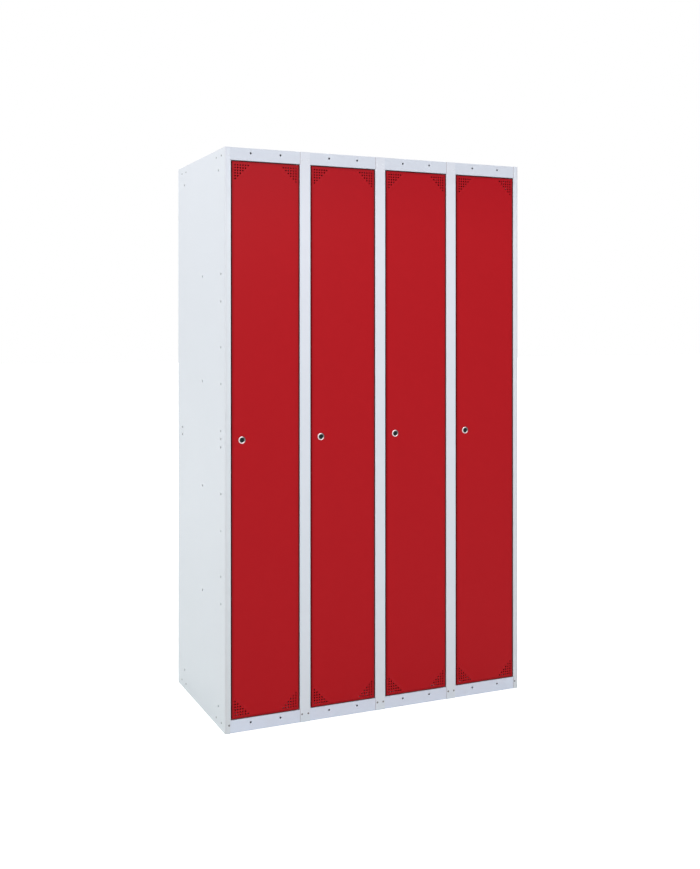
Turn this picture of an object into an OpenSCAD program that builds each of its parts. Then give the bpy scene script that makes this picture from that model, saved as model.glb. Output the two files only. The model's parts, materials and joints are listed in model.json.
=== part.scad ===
// Steel clothes locker with four tall bays side by side.
// Each bay has one folded door, hung on two concealed pivot pins at its right edge,
// perforated in its four corners and held shut by a turning cam lock at its left edge.
// The origin is the middle of the footprint, +Z is up and the doors face -Y.

/* [Overall] */
// Height of the locker
height = 1700; // [1500:10:2000]
// Depth of the body, from the face of the doors to the back
body_depth = 500; // [450:10:600]
// Width of one bay, from one partition to the next
bay_w = 250; // [240:10:400]

/* [Sheet metal] */
// Thickness of all body and door sheet
sheet = 1; // [0.8:0.1:1.2]
// Radius of every fold, to the middle of the sheet
bend_r = 1.5; // [1.2:0.1:2]
// Width of the upright face beside each door
stile_w = 17.5; // [16.5:0.5:22]
// Depth of the upright's folded return
stile_return = 24; // [23:1:30]
// Width of the flange at the end of the return, which the door's lock side shuts against
stop_flange = 8; // [7:1:10]
// Distance from an upright's fold to its cut edge where it laps over the rails
lap_relief = 0.2; // [0:0.1:2]
// Height of the rail over the doors
top_rail_h = 38; // [36:1:60]
// Height of the rail under the doors
bottom_rail_h = 38; // [36:1:60]
// Depth of the fold at the free edge of each rail
rail_return = 24; // [18:1:30]
// Height of the roof's and the deck's side and back flanges
tray_flange = 32; // [28:1:35]
// Distance that the trays' and shelves' side folds stop short of their front and back folds
tray_relief = 6; // [4:1:12]
// Width of the fold behind each upright at a partition's front edge
front_flange = 12; // [10:1:14]
// Width of the fold at the back edge of the sides and partitions
back_flange = 15; // [12:1:25]

/* [Doors] */
// Gap round each door
door_gap = 3; // [1.5:0.1:3]
// Depth of the door's folded edge
door_fold = 18; // [14:1:18]
// Width of the lip inside the door's two long edges
door_lip = 12; // [8:1:16]
// Width of the stiffening channel behind the door
stiffener_w = 50; // [40:1:80]
// Depth of the stiffening channel
stiffener_d = 12; // [8:1:13]
// Width of each foot of the stiffening channel, where it is welded to the door
stiffener_foot = 12; // [8:1:15]
// Distance from the stiffening channel's ends to the door's ends
stiffener_end = 70; // [60:5:120]

/* [Perforation] */
// Holes in the first row and in the first column of each corner
perf_rows = 6; // [3:1:8]
// Distance from hole to hole
perf_pitch = 8; // [6:0.5:9]
// Side of each square hole
perf_hole = 4; // [2.5:0.5:4.5]
// Distance from the door's side edge to the first column's middle
perf_side = 9.5; // [8:0.5:14]
// Distance from the door's top or bottom edge to the first row's middle
perf_end = 10; // [8:0.5:14]

/* [Hinges] */
// Distance from the door's right edge to the pivot
pivot_inset = 9; // [8:0.5:10]
// Distance from the door's face back to the pivot
pivot_back = 4.5; // [4.3:0.1:5]
// Diameter of the pivot pins
pin_d = 4; // [3:0.5:4]
// Length of pin inside the door
pin_reach = 10; // [8:1:14]
// Width of the plate that each pin is riveted to
pin_plate_w = 14; // [10:1:20]
// Length of the pin's plate, front to back
pin_plate_l = 14; // [10:1:18]
// Thickness of the pin's plate
pin_plate_t = 2; // [1.5:0.5:3]
// Radial clearance of the turning pins and of the lock's plug
running_fit = 0.05; // [0.02:0.01:0.1]
// Wall of the pivot bushes
bush_wall = 0.9; // [0.8:0.1:1]
// Length of a bush inside the door
bush_reach = 8; // [5:1:9]
// Width of a bush's collar beyond its body
bush_collar = 0.9; // [0.6:0.1:1]

/* [Locks] */
// Height of the locks above the floor
lock_z = 849; // [700:1:1100]
// Distance from the door's left edge to the lock
lock_inset = 30.5; // [29:0.5:36]
// Diameter of the lock's ring
ring_d = 22; // [20:0.5:28]
// Distance that the ring stands out of the door
ring_proud = 2; // [1.5:0.1:3]
// Width of the bevel at the ring's outer edge
ring_bevel = 1; // [0.5:0.1:1.4]
// Diameter of the housing behind the ring
housing_d = 16; // [15:0.5:18]
// Diameter of the turning plug
plug_d = 12; // [10:0.5:12.5]
// Depth of the plug's face below the ring's front
plug_recess = 1; // [0.5:0.1:1.4]
// Width of the key slot
slot_w = 2; // [1.5:0.1:2.5]
// Length of the key slot
slot_l = 8; // [6:0.5:9]
// Depth of the key slot
slot_deep = 9; // [5:1:12]
// Width across the flats of the lock's nut
nut_flats = 22; // [20:0.5:24]
// Thickness of the lock's nut
nut_t = 5; // [3:0.5:6]
// Width of the cam
cam_w = 14; // [12:0.5:16]
// Thickness of the cam
cam_t = 2; // [1.5:0.1:3]
// Distance from the lock's axis to the cam's tip
cam_reach = 38; // [36:1:42]
// Diameter of the plug's neck through the cam
neck_d = 6; // [5:0.5:7]
// Diameter of the riveted end that holds the cam
neck_head_d = 9; // [8:0.5:10]
// Thickness of the riveted end that holds the cam
neck_head_t = 1.5; // [1:0.1:2]
// Gap between the turned cam and the flange that it catches
cam_gap = 1; // [0.5:0.1:2]

/* [Inside the bays] */
// Distance from the roof to the top of the hat shelf
shelf_drop = 300; // [220:10:400]
// Height of the shelf's folded edges
shelf_edge = 20; // [15:1:30]
// Width of the second fold at the shelf's front edge
shelf_hem = 8; // [6:1:12]
// Distance from the door stop back to the shelf
shelf_setback = 12; // [8:1:40]
// Distance from the top of the shelf down to the middle of the coat rail
coat_rail_drop = 60; // [50:1:90]
// Diameter of the coat rail
coat_rail_d = 18; // [15:0.5:20]
// Wall of the coat rail
coat_rail_wall = 1.2; // [1:0.1:2]
// Diameter of the plate of a coat rail socket
socket_plate_d = 36; // [34:1:44]
// Thickness of the plate of a coat rail socket
socket_plate_t = 2; // [1.5:0.5:3]
// Wall of the cup of a coat rail socket
socket_wall = 2.5; // [2:0.5:4]
// Length of the cup of a coat rail socket
socket_cup = 8; // [6:1:12]
// Diameter of the rubber door buffers
buffer_d = 6; // [5:0.5:6.5]
// Distance from the ends of the door stop to the middle of a buffer
buffer_end = 90; // [60:5:200]

/* [Holes and rivets] */
// Diameter of the fixing holes in the rails
rail_hole_d = 6; // [4:0.5:7]
// Distance between the two fixing holes of a rail
rail_hole_pitch = 93; // [80:1:110]
// Distance from the top of the locker to the upper fixing holes
rail_hole_top = 15; // [12:1:22]
// Height of the lower fixing holes above the floor
rail_hole_bottom = 24; // [12:1:26]
// Diameter of the holes in the sides
side_hole_d = 7; // [3:0.5:7]
// Distance from the front to the side's first column of holes
side_hole_front = 41; // [32:1:50]
// Distance from the front to the side's second column of holes
side_hole_middle = 225; // [180:1:260]
// Distance from the back to the side's third column of holes
side_hole_back = 52; // [40:1:80]
// Distance from mid height up and down to the first pair of the side's front holes
side_hole_step_1 = 24; // [15:1:40]
// Distance from mid height up and down to the second pair
side_hole_step_2 = 161; // [120:1:200]
// Distance from mid height up and down to the third pair
side_hole_step_3 = 269; // [220:1:320]
// Distance from mid height up and down to the fourth pair
side_hole_step_4 = 403; // [360:1:440]
// Distance from mid height up and down to the fifth pair
side_hole_step_5 = 483; // [460:1:540]
// Distance from the top and from the bottom to the side's corner holes
corner_hole_end = 61; // [50:1:80]
// Distance from the front to the side's front corner holes
corner_hole_front = 66; // [55:1:75]
// Distance from the back to the side's back corner holes
corner_hole_back = 75; // [65:1:90]
// Diameter of the rivets
rivet_d = 3.2; // [3:0.1:4]
// Diameter of the rivets' heads
rivet_head_d = 6; // [5.6:0.1:7.5]
// Height of the rivets' heads
rivet_head_h = 0.9; // [0.6:0.1:1.4]
// Diameter of the rivets' blind ends
rivet_tail_d = 5; // [4.6:0.1:6]
// Height of the rivets' blind ends
rivet_tail_h = 1.4; // [1:0.1:2]
// Distance from the middle of a partition to the front rivets on its two sides
front_rivet_inset = 10; // [6.5:0.5:13]
// Distance from a side's outer face to its front rivets
outer_rivet_inset = 12; // [6.5:0.5:13]
// Distance from the top and from the floor to a front rivet
front_rivet_end = 24; // [10:0.5:30]
// Distance from the roof and from the floor to a side rivet
side_rivet_end = 21; // [15:0.5:26]
// Distance from the front to the first front side rivet
side_rivet_front_1 = 37; // [32:1:45]
// Distance from the front to the second front side rivet
side_rivet_front_2 = 86; // [75:1:110]
// Distance from the back to the first back side rivet
side_rivet_back_1 = 46; // [30:1:60]
// Distance from the back to the second back side rivet
side_rivet_back_2 = 93; // [90:1:130]
// Diameter of the wall fixing holes in the back
wall_hole_d = 8; // [6:0.5:12]
// Distance from the top of the locker to the wall fixing holes
wall_hole_top = 150; // [60:10:280]

/* [Clearances] */
// Gap kept between pieces that move past each other
run_gap = 0.3; // [0.3:0.05:0.5]
// Radial clearance of pieces that are fixed in their holes
seat_fit = 0.05; // [0.02:0.01:0.1]

/* [Hidden] */
$fn = 48;
bays = 4;

body_grey = [0.86, 0.88, 0.9];
door_red = [0.69, 0.13, 0.15];
zinc = [0.72, 0.73, 0.74];
chrome = [0.83, 0.84, 0.86];
lock_black = [0.1, 0.11, 0.12];
rubber_grey = [0.25, 0.25, 0.26];
nylon_black = [0.13, 0.13, 0.13];
phosphate_black = [0.17, 0.17, 0.18];

bend_steps = 4;
cut = 1;
half_sheet = sheet / 2;
inner_bend = bend_r - half_sheet;
lap_w = stile_w - bend_r - half_sheet - lap_relief;
half_w = bays * bay_w / 2;
front_y = (ring_proud - body_depth) / 2;
back_y = front_y + body_depth;
rail_y = front_y + sheet;
back_in = back_y - 2 * sheet;
stop_y = front_y + stile_return;
opening_z0 = bottom_rail_h;
opening_z1 = height - top_rail_h;
door_z0 = opening_z0 + door_gap;
door_z1 = opening_z1 - door_gap;
shelf_z = height - shelf_drop;
shelf_y0 = stop_y + shelf_setback;
shelf_y1 = back_in - sheet - inner_bend;
coat_rail_z = shelf_z - coat_rail_drop;
coat_rail_y = (shelf_y0 + shelf_y1) / 2;
pivot_y = front_y + pivot_back;
bush_r = pin_d / 2 + running_fit + bush_wall;
cam_y = stop_y + cam_gap;
side_hole_steps = [side_hole_step_1, side_hole_step_2, side_hole_step_3, side_hole_step_4,
  side_hole_step_5];
side_rivet_ys = [
  front_y + side_rivet_front_1, front_y + side_rivet_front_2,
  back_y - side_rivet_back_2, back_y - side_rivet_back_1];
side_rivet_zs = [side_rivet_end, height - side_rivet_end];
front_rivet_zs = [front_rivet_end, height - front_rivet_end];

function bay_x(k) = (k - 1) * bay_w - half_w;
function bay_mid(k) = bay_x(k) + bay_w / 2;
function inner_lo(k) = bay_x(k) + (k == 1 ? sheet : half_sheet);
function inner_hi(k) = bay_x(k + 1) - (k == bays ? sheet : half_sheet);
function rail_lo(k) = inner_lo(k) + (k == 1 ? inner_bend : 0);
function rail_hi(k) = inner_hi(k) - (k == bays ? inner_bend : 0);
function door_x0(k) = bay_x(k) + stile_w + door_gap;
function door_x1(k) = bay_x(k + 1) - stile_w - door_gap;
function pivot_x(k) = door_x1(k) - pivot_inset;
function lock_x(k) = door_x0(k) + lock_inset;
function rivet_x0(k) = bay_x(k) + (k == 1 ? outer_rivet_inset : front_rivet_inset);
function rivet_x1(k) = bay_x(k + 1) - (k == bays ? outer_rivet_inset : front_rivet_inset);
function unit(v) = v / norm(v);
function reversed(list) = [for (i = [len(list) - 1:-1:0]) list[i]];

// One face of a bent sheet, along a path in the middle of its thickness: its left face where
// side is 1 and its right face where side is -1. Every corner of the path is a right angle.
function sheet_face(path, side) = [
  for (i = [0:len(path) - 1])
    let (
      before = unit(path[max(i, 1)] - path[max(i, 1) - 1]),
      after = unit(path[min(i + 1, len(path) - 1)] - path[min(i, len(path) - 2)]),
      turn = before[0] * after[1] - before[1] * after[0],
      centre = path[i] + bend_r * (after - before),
      r = bend_r - side * turn * half_sheet,
      left = [-before[1], before[0]])
    each abs(turn) < 0.5
      ? [path[i] + side * half_sheet * left]
      : [for (s = [0:bend_steps])
          centre + r * (before * sin(90 * s / bend_steps) - after * cos(90 * s / bend_steps))]
];

// Outline of a bent sheet
module bent(path) {
  polygon(concat(sheet_face(path, 1), reversed(sheet_face(path, -1))));
}

// A section drawn across x and z, made solid from y0 to y1
module along_y(y0, y1) {
  translate([0, y1, 0]) rotate([90, 0, 0]) linear_extrude(y1 - y0) children();
}

// A section drawn across y and z, made solid from x0 to x1
module along_x(x0, x1) {
  translate([x0, 0, 0]) rotate([90, 0, 90]) linear_extrude(x1 - x0) children();
}

// A round bar along y, from y0 to y1
module bar_y(x, z, y0, y1, d) {
  translate([x, y0, z]) rotate([-90, 0, 0]) cylinder(d = d, h = y1 - y0);
}

// A round bar along x, from x0 to x1
module bar_x(y, z, x0, x1, d) {
  translate([x0, y, z]) rotate([0, 90, 0]) cylinder(d = d, h = x1 - x0);
}

// Everything between x0 and x1 that lies beside the two rails, from y0 to y1
module beside_rails(x0, x1, y0, y1) {
  translate([x0, y0, -cut]) cube([x1 - x0, y1 - y0, opening_z0 + cut]);
  translate([x0, y0, opening_z1]) cube([x1 - x0, y1 - y0, top_rail_h + cut]);
}

// Blind rivet whose head sits on z = 0 and whose blind end lies beyond the grip
module rivet(grip) {
  dome_r = (pow(rivet_head_d / 2, 2) + pow(rivet_head_h, 2)) / (2 * rivet_head_h);
  rotate_extrude() intersection() {
    translate([0, dome_r - rivet_head_h]) circle(dome_r);
    translate([0, -rivet_head_h]) square([rivet_head_d, rivet_head_h]);
  }
  cylinder(d = rivet_d, h = grip);
  translate([0, 0, grip]) cylinder(d = rivet_tail_d, h = rivet_tail_h);
}

// Holes for the rivets that hold the roof and the deck to a side or partition
module side_rivet_holes(x) {
  for (y = side_rivet_ys, z = side_rivet_zs)
    bar_x(y, z, x - 3 * sheet, x + 3 * sheet, rivet_d + 2 * seat_fit);
}

// Holes for the rivets that hold the uprights to the rails
module front_rivet_holes(x) {
  for (z = front_rivet_zs)
    bar_y(x, z, front_y - cut, rail_y + sheet + cut, rivet_d + 2 * seat_fit);
}

// Left side, one sheet: back flange, web, upright face, return and, on the lock side, the stop
module side_panel(with_stop) {
  x = -half_w;
  inner = x + stile_w - half_sheet;
  path = [
    [x + back_flange, back_y - half_sheet],
    [x + half_sheet, back_y - half_sheet],
    [x + half_sheet, front_y + half_sheet],
    [inner, front_y + half_sheet]];
  end = with_stop
    ? [[inner, stop_y - half_sheet], [inner + stop_flange, stop_y - half_sheet]]
    : [[inner, stop_y]];
  difference() {
    linear_extrude(height) bent(concat(path, end));
    beside_rails(x + lap_w, inner + stop_flange + cut, front_y - cut, stop_y + cut);
    side_rivet_holes(x);
    front_rivet_holes(x + outer_rivet_inset);
    side_hole(side_hole_front, height / 2);
    for (step = side_hole_steps, up = [-1, 1])
      side_hole(side_hole_front, height / 2 + up * step);
    for (step = [side_hole_step_2, side_hole_step_5], up = [-1, 1])
      side_hole(side_hole_middle, height / 2 + up * step);
    for (step = [0, side_hole_step_1])
      side_hole(body_depth - side_hole_back, height / 2 - step);
    for (y = [corner_hole_front, body_depth - corner_hole_back],
        z = [corner_hole_end, height - corner_hole_end])
      side_hole(y, z);
  }
}

module side_hole(y, z) {
  bar_x(front_y + y, z, -half_w - cut, -half_w + sheet + cut, side_hole_d);
}

module left_side_panel() {
  color(body_grey) side_panel(true);
}

module right_side_panel() {
  color(body_grey) mirror([1, 0, 0]) side_panel(false);
}

// Sheet between two bays, with a flange behind the upright and one against the back
module partition(k) {
  path = [
    [front_flange, rail_y + half_sheet],
    [0, rail_y + half_sheet],
    [0, back_in - half_sheet],
    [back_flange, back_in - half_sheet]];
  color(body_grey) difference() {
    translate([bay_x(k + 1), 0, 0]) linear_extrude(height) bent(path);
    beside_rails(inner_lo(k + 1), inner_lo(k + 1) + back_flange, rail_y - cut, back_in + cut);
    side_rivet_holes(bay_x(k + 1));
  }
}

// Upright between two doors: a channel that laps over the rails above and below
module mullion(k) {
  path = [
    [half_sheet - stile_w, stop_y],
    [half_sheet - stile_w, front_y + half_sheet],
    [stile_w - half_sheet, front_y + half_sheet],
    [stile_w - half_sheet, stop_y - half_sheet],
    [stile_w - half_sheet + stop_flange, stop_y - half_sheet]];
  x = bay_x(k + 1);
  color(body_grey) difference() {
    translate([x, 0, 0]) linear_extrude(height) bent(path);
    beside_rails(x - stile_w - cut, x - lap_w, front_y - cut, stop_y + cut);
    beside_rails(x + lap_w, x + stile_w + stop_flange + cut, front_y - cut, stop_y + cut);
    front_rivet_holes(rivet_x1(k));
    front_rivet_holes(rivet_x0(k + 1));
  }
}

// Roof or deck of a bay with its front rail, folded from one sheet: fold_z is the middle of the
// rail's free fold, flat_z the middle of the roof or deck, and pin_z that of the two that
// carries the door's pivot pin
module tray(k, fold_z, flat_z, pin_z) {
  x0 = inner_lo(k);
  x1 = inner_hi(k);
  flange_z = flat_z - tray_flange;
  front_to_back = [
    [rail_y + rail_return, fold_z],
    [rail_y + half_sheet, fold_z],
    [rail_y + half_sheet, flat_z],
    [back_in - half_sheet, flat_z],
    [back_in - half_sheet, flange_z]];
  side_to_side = [
    [x0 + half_sheet, flange_z],
    [x0 + half_sheet, flat_z],
    [x1 - half_sheet, flat_z],
    [x1 - half_sheet, flange_z]];
  difference() {
    union() {
      along_x(rail_lo(k), rail_hi(k)) bent(front_to_back);
      along_y(rail_y + rail_return + tray_relief, back_in - sheet - tray_relief)
        bent(side_to_side);
    }
    side_rivet_holes(x0);
    side_rivet_holes(x1);
    front_rivet_holes(rivet_x0(k));
    front_rivet_holes(rivet_x1(k));
    translate([pivot_x(k), pivot_y, pin_z - sheet])
      cylinder(d = pin_d + 2 * seat_fit, h = 2 * sheet);
  }
}

module rail_holes(k, z) {
  for (side = [-1, 1])
    bar_y(bay_mid(k) + side * rail_hole_pitch / 2, z, front_y, rail_y + sheet + cut, rail_hole_d);
}

module top_panel(k) {
  color(body_grey) difference() {
    tray(k, opening_z1 + half_sheet, height - half_sheet, opening_z1 + half_sheet);
    rail_holes(k, height - rail_hole_top);
  }
}

module base_panel(k) {
  color(body_grey) difference() {
    tray(k, half_sheet, opening_z0 - half_sheet, opening_z0 - half_sheet);
    rail_holes(k, rail_hole_bottom);
  }
}

module back_panel() {
  half_span = half_w - sheet - inner_bend;
  color(body_grey) difference() {
    translate([-half_span, back_in, 0]) cube([2 * half_span, sheet, height]);
    for (k = [1, bays])
      bar_y(bay_mid(k), height - wall_hole_top, back_in - cut, back_y + cut, wall_hole_d);
  }
}

// Hat shelf, folded down at all four edges and welded between the sides of its bay
module shelf(k) {
  x0 = inner_lo(k);
  x1 = inner_hi(k);
  low_z = shelf_z - shelf_edge + half_sheet;
  front_to_back = [
    [shelf_y0 + shelf_hem, low_z],
    [shelf_y0 + half_sheet, low_z],
    [shelf_y0 + half_sheet, shelf_z - half_sheet],
    [shelf_y1 - half_sheet, shelf_z - half_sheet],
    [shelf_y1 - half_sheet, shelf_z - shelf_edge]];
  side_to_side = [
    [x0 + half_sheet, low_z],
    [x0 + half_sheet, shelf_z - half_sheet],
    [x1 - half_sheet, shelf_z - half_sheet],
    [x1 - half_sheet, low_z]];
  color(body_grey) {
    along_x(x0, x1) bent(front_to_back);
    along_y(shelf_y0 + shelf_hem + tray_relief, shelf_y1 - sheet - tray_relief)
      bent(side_to_side);
  }
}

module coat_rail(k) {
  x0 = inner_lo(k) + socket_plate_t;
  x1 = inner_hi(k) - socket_plate_t;
  color(zinc) difference() {
    bar_x(coat_rail_y, coat_rail_z, x0, x1, coat_rail_d);
    bar_x(coat_rail_y, coat_rail_z, x0 - cut, x1 + cut, coat_rail_d - 2 * coat_rail_wall);
  }
}

// Cup that holds one end of a coat rail, its plate on x = 0 and its mouth towards +x
module rail_socket() {
  bore = coat_rail_d + 2 * seat_fit;
  bar_x(0, 0, 0, socket_plate_t, socket_plate_d);
  difference() {
    bar_x(0, 0, 0, socket_plate_t + socket_cup, bore + 2 * socket_wall);
    bar_x(0, 0, socket_plate_t, socket_plate_t + socket_cup + cut, bore);
  }
}

module rail_sockets() {
  color(zinc) for (k = [1:bays]) translate([0, coat_rail_y, coat_rail_z]) {
    translate([inner_lo(k), 0, 0]) rail_socket();
    translate([inner_hi(k), 0, 0]) mirror([1, 0, 0]) rail_socket();
  }
}

module frame_rivets() {
  color(zinc) for (k = [1:bays], z = front_rivet_zs, x = [rivet_x0(k), rivet_x1(k)])
    translate([x, front_y, z]) rotate([-90, 0, 0]) rivet(2 * sheet);
}

module panel_rivets() {
  color(zinc) for (y = side_rivet_ys, z = side_rivet_zs) {
    translate([-half_w, y, z]) rotate([0, 90, 0]) rivet(2 * sheet);
    translate([half_w, y, z]) rotate([0, -90, 0]) rivet(2 * sheet);
    for (k = [2:bays])
      translate([bay_x(k) - 1.5 * sheet, y, z]) rotate([0, 90, 0]) rivet(3 * sheet);
  }
}

// Pivot pin with its tip up, riveted to a plate that lies against z = 0 behind the rail's fold
module hinge_pin() {
  plate_y = rail_y + sheet + bend_r - pivot_y;
  translate([-pin_plate_w / 2, plate_y, -pin_plate_t])
    cube([pin_plate_w, pin_plate_l, pin_plate_t]);
  cylinder(d = pin_d, h = sheet + door_gap + pin_reach);
}

module hinge_pins() {
  color(phosphate_black) for (k = [1:bays]) {
    translate([pivot_x(k), pivot_y, opening_z0 - sheet]) hinge_pin();
    translate([pivot_x(k), pivot_y, opening_z1 + sheet]) mirror([0, 0, 1]) hinge_pin();
  }
}

// Buffers on the stop flange, which the lock side of the closed door rests against
module door_buffers() {
  y0 = front_y + door_fold + run_gap;
  color(rubber_grey) for (k = [1:bays], z = [opening_z0 + buffer_end, opening_z1 - buffer_end])
    bar_y(bay_x(k) + stile_w + stop_flange - buffer_d / 2 - half_sheet, z,
      y0, stop_y - sheet, buffer_d);
}

// Triangle of square holes, from a corner of the door along +x and +z
module corner_perforation() {
  for (row = [0:perf_rows - 1], column = [0:perf_rows - 1 - row])
    translate([perf_side + column * perf_pitch - perf_hole / 2, -cut,
        perf_end + row * perf_pitch - perf_hole / 2])
      cube([perf_hole, sheet + 2 * cut, perf_hole]);
}

module door(k) {
  x0 = door_x0(k);
  x1 = door_x1(k);
  rear = front_y + door_fold;
  across = [
    [x0 + door_lip, rear - half_sheet],
    [x0 + half_sheet, rear - half_sheet],
    [x0 + half_sheet, front_y + half_sheet],
    [x1 - half_sheet, front_y + half_sheet],
    [x1 - half_sheet, rear - half_sheet],
    [x1 - door_lip, rear - half_sheet]];
  upright = [
    [rear, door_z0 + half_sheet],
    [front_y + half_sheet, door_z0 + half_sheet],
    [front_y + half_sheet, door_z1 - half_sheet],
    [rear, door_z1 - half_sheet]];
  color(door_red) difference() {
    union() {
      translate([0, 0, door_z0]) linear_extrude(door_z1 - door_z0) bent(across);
      along_x(x0 + sheet, x1 - sheet) bent(upright);
    }
    translate([x0, front_y, door_z0]) corner_perforation();
    translate([x1, front_y, door_z0]) mirror([1, 0, 0]) corner_perforation();
    translate([x0, front_y, door_z1]) mirror([0, 0, 1]) corner_perforation();
    translate([x1, front_y, door_z1]) mirror([1, 0, 0]) mirror([0, 0, 1]) corner_perforation();
    bar_y(lock_x(k), lock_z, front_y - cut, front_y + sheet + cut, housing_d + 2 * seat_fit);
    for (z = [door_z0 - cut, door_z1 - sheet - cut])
      translate([pivot_x(k), pivot_y, z]) cylinder(r = bush_r + seat_fit, h = sheet + 2 * cut);
  }
}

// Channel welded down the middle of the door's inside
module door_stiffener(k) {
  half = stiffener_w / 2 - stiffener_foot;
  near = front_y + sheet + half_sheet;
  far = front_y + sheet + stiffener_d - half_sheet;
  path = [
    [-stiffener_w / 2, near], [-half, near], [-half, far],
    [half, far], [half, near], [stiffener_w / 2, near]];
  color(door_red) translate([(door_x0(k) + door_x1(k)) / 2, 0, door_z0 + stiffener_end])
    linear_extrude(door_z1 - door_z0 - 2 * stiffener_end) bent(path);
}

// Flanged bush with its body below z = 0 and its collar above
module hinge_bush() {
  difference() {
    union() {
      translate([0, 0, -bush_reach]) cylinder(r = bush_r, h = bush_reach);
      cylinder(r = bush_r + bush_collar, h = door_gap - run_gap);
    }
    translate([0, 0, -bush_reach - cut])
      cylinder(d = pin_d + 2 * running_fit, h = bush_reach + door_gap + 2 * cut);
  }
}

module hinge_bushes(k) {
  color(nylon_black) {
    translate([pivot_x(k), pivot_y, door_z1]) hinge_bush();
    translate([pivot_x(k), pivot_y, door_z0]) mirror([0, 0, 1]) hinge_bush();
  }
}

module lock_housing(k) {
  color(chrome) difference() {
    union() {
      translate([lock_x(k), front_y - ring_proud, lock_z]) rotate([-90, 0, 0]) {
        cylinder(d1 = ring_d - 2 * ring_bevel, d2 = ring_d, h = ring_bevel);
        translate([0, 0, ring_bevel]) cylinder(d = ring_d, h = ring_proud - ring_bevel);
      }
      bar_y(lock_x(k), lock_z, front_y, cam_y - run_gap, housing_d);
    }
    bar_y(lock_x(k), lock_z, front_y - ring_proud - cut, cam_y + cut, plug_d + 2 * running_fit);
  }
}

module lock_nut(k) {
  color(zinc) difference() {
    translate([lock_x(k), front_y + sheet, lock_z]) rotate([-90, 0, 0])
      cylinder(d = nut_flats / cos(30), h = nut_t, $fn = 6);
    bar_y(lock_x(k), lock_z, front_y, front_y + sheet + nut_t + cut, housing_d + 2 * seat_fit);
  }
}

// Turning barrel of the lock, its neck riveted over behind the cam
module lock_plug(k) {
  face_y = front_y - ring_proud + plug_recess;
  color(lock_black) difference() {
    union() {
      bar_y(lock_x(k), lock_z, face_y, cam_y, plug_d);
      bar_y(lock_x(k), lock_z, cam_y, cam_y + cam_t, neck_d);
      bar_y(lock_x(k), lock_z, cam_y + cam_t, cam_y + cam_t + neck_head_t, neck_head_d);
    }
    translate([lock_x(k) - slot_w / 2, face_y - cut, lock_z - slot_l / 2])
      cube([slot_w, slot_deep + cut, slot_l]);
  }
}

// Cam of the lock, drawn unlocked and pointing up
module lock_cam(k) {
  color(zinc) translate([lock_x(k), 0, lock_z]) difference() {
    along_y(cam_y, cam_y + cam_t) {
      circle(d = cam_w);
      translate([-cam_w / 2, 0]) square([cam_w, cam_reach - cam_w / 2]);
      translate([0, cam_reach - cam_w / 2]) circle(d = cam_w);
    }
    bar_y(0, 0, cam_y - cut, cam_y + cam_t + cut, neck_d + 2 * seat_fit);
  }
}

left_side_panel();
right_side_panel();
back_panel();
rail_sockets();
frame_rivets();
panel_rivets();
hinge_pins();
door_buffers();
for (k = [1:bays - 1]) {
  partition(k);
  mullion(k);
}
for (k = [1:bays]) {
  top_panel(k);
  base_panel(k);
  shelf(k);
  coat_rail(k);
  door(k);
  door_stiffener(k);
  hinge_bushes(k);
  lock_housing(k);
  lock_nut(k);
  lock_plug(k);
  lock_cam(k);
}
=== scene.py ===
import json
import math

import bpy
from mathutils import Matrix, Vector

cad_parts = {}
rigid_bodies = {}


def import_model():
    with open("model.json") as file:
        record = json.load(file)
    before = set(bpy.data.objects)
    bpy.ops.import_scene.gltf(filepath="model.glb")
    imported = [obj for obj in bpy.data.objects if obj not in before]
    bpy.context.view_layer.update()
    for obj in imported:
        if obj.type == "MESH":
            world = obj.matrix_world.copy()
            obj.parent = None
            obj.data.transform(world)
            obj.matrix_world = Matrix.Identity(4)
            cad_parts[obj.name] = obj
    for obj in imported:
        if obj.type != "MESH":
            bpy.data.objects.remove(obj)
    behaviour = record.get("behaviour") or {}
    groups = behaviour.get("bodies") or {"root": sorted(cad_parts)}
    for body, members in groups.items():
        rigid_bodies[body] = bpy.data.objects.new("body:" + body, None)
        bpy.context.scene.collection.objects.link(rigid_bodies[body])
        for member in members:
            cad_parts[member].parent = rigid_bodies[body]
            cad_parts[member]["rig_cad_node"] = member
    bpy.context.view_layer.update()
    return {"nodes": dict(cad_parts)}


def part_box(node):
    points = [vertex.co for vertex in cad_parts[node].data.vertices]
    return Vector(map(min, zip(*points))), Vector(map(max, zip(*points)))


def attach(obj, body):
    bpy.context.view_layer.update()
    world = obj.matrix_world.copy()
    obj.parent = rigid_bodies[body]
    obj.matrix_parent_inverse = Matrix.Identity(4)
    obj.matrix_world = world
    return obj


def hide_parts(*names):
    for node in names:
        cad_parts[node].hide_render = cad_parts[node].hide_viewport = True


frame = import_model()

# The folded sheet steel body: two sides with their uprights, three partitions and the back.
# It is 1 mm sheet, sheared, folded, riveted together and then powder coated light grey, so its
# cut edges are softly rounded and its finish has the fine orange peel of baked powder.
SHEET = 0.001
PAINT_EDGE = 0.0002
EDGE_STEPS = 2
SHARP_DEGREES = 40
SMOOTH_DEGREES = 50
FLAT_DEGREES = 1
MERGE = 0.000002
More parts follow.
